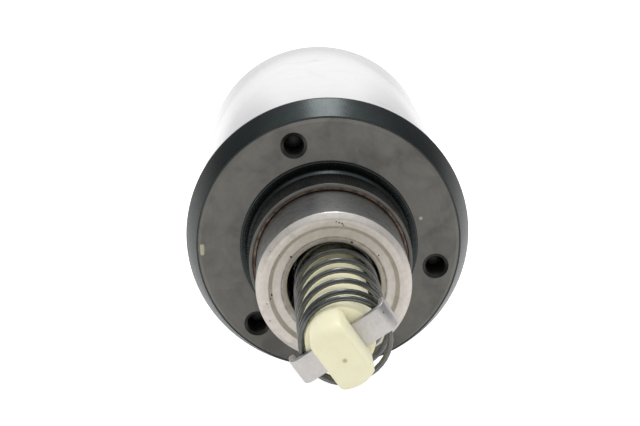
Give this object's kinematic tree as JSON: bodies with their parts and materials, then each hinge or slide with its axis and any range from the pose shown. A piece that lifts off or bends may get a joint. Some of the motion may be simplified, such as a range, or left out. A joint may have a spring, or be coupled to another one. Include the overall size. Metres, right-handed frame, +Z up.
{
  "type": "starter solenoid",
  "caption": "Starter solenoid: round flange with tapped holes and centring collar, plated can, sliding plunger with sprung nylon pull rod and key, rear switch cap with stud terminals.",
  "frame": {"origin": "centre of the front flange's mounting face, on the solenoid's axis", "axes": "-Y along the axis out of the plunger end, +Y towards the terminals, +Z up, +X right seen from the plunger end"},
  "size_m": [0.06, 0.1779, 0.06],
  "materials": {
    "flange_steel": "matt phosphated steel",
    "can_plate": "bright zinc plate",
    "plunger_steel": "turned steel",
    "core_steel": "plain steel",
    "spring_wire": "dark oiled spring wire",
    "key_steel": "plain strip steel",
    "ivory_nylon": "satin moulded nylon",
    "sleeve_brass": "drawn brass",
    "bobbin_plastic": "moulded",
    "enamelled_wire": "enamelled copper wire",
    "contact_copper": "plain copper",
    "black_moulding": "moulded phenolic",
    "seal_rubber": "matt rubber",
    "insulator_red": "pressed fibre",
    "plated_fastener": "zinc plate",
    "blade_brass": "tinned brass"
  },
  "bodies": {
    "housing": {"front_flange": "flange_steel", "guide_sleeve": "sleeve_brass", "can": "can_plate", "coil_bobbin": "bobbin_plastic", "pull_in_winding": "enamelled_wire", "hold_in_winding": "enamelled_wire", "stationary_core": "core_steel", "plunger_return_spring": "spring_wire", "rod_guide_bush": "ivory_nylon", "cap_gasket": "seal_rubber", "terminal_cap": "black_moulding", "battery_stud": "contact_copper", "motor_stud": "contact_copper", "stud_seals": "seal_rubber", "flat_washers": "plated_fastener", "jam_nuts": "plated_fastener", "lock_washers": "plated_fastener", "terminal_nuts": "plated_fastener", "control_terminal": "blade_brass", "winding_leads": "enamelled_wire", "contact_return_spring": "spring_wire"},
    "plunger": {"plunger": "plunger_steel", "idle_spring": "spring_wire"},
    "pull_rod": {"pull_rod": "ivory_nylon", "spring_key": "key_steel"},
    "contact_rod": {"contact_rod": "core_steel", "rod_clip": "spring_wire", "over_travel_spring": "spring_wire"},
    "contact_disc": {"contact_disc": "contact_copper", "disc_front_insulator": "insulator_red", "disc_rear_insulator": "insulator_red"}
  },
  "joints": [
    {"name": "plunger_slide", "type": "slide", "parent": "housing", "child": "plunger", "axis": [0, 1, 0], "range_m": [0, 0.012], "stiffness_N_per_m": 700, "springref_m": -0.02, "deforming": ["plunger_return_spring"]},
    {"name": "pull_rod_slide", "type": "slide", "parent": "plunger", "child": "pull_rod", "axis": [0, 1, 0], "range_m": [0, 0.0035], "stiffness_N_per_m": 1500, "springref_m": -0.008, "deforming": ["idle_spring"]},
    {"name": "contact_rod_slide", "type": "slide", "parent": "housing", "child": "contact_rod", "axis": [0, 1, 0], "range_m": [0, 0.0045], "deforming": ["contact_return_spring"]},
    {"name": "contact_disc_slide", "type": "slide", "parent": "contact_rod", "child": "contact_disc", "axis": [0, 1, 0], "range_m": [-0.0006, 0], "deforming": ["over_travel_spring"]}
  ],
  "couplings": [
    {"joint": "contact_rod_slide", "follows": "plunger_slide", "ratio": 0.375},
    {"joint": "contact_disc_slide", "follows": "plunger_slide", "ratio": -0.05}
  ]
}
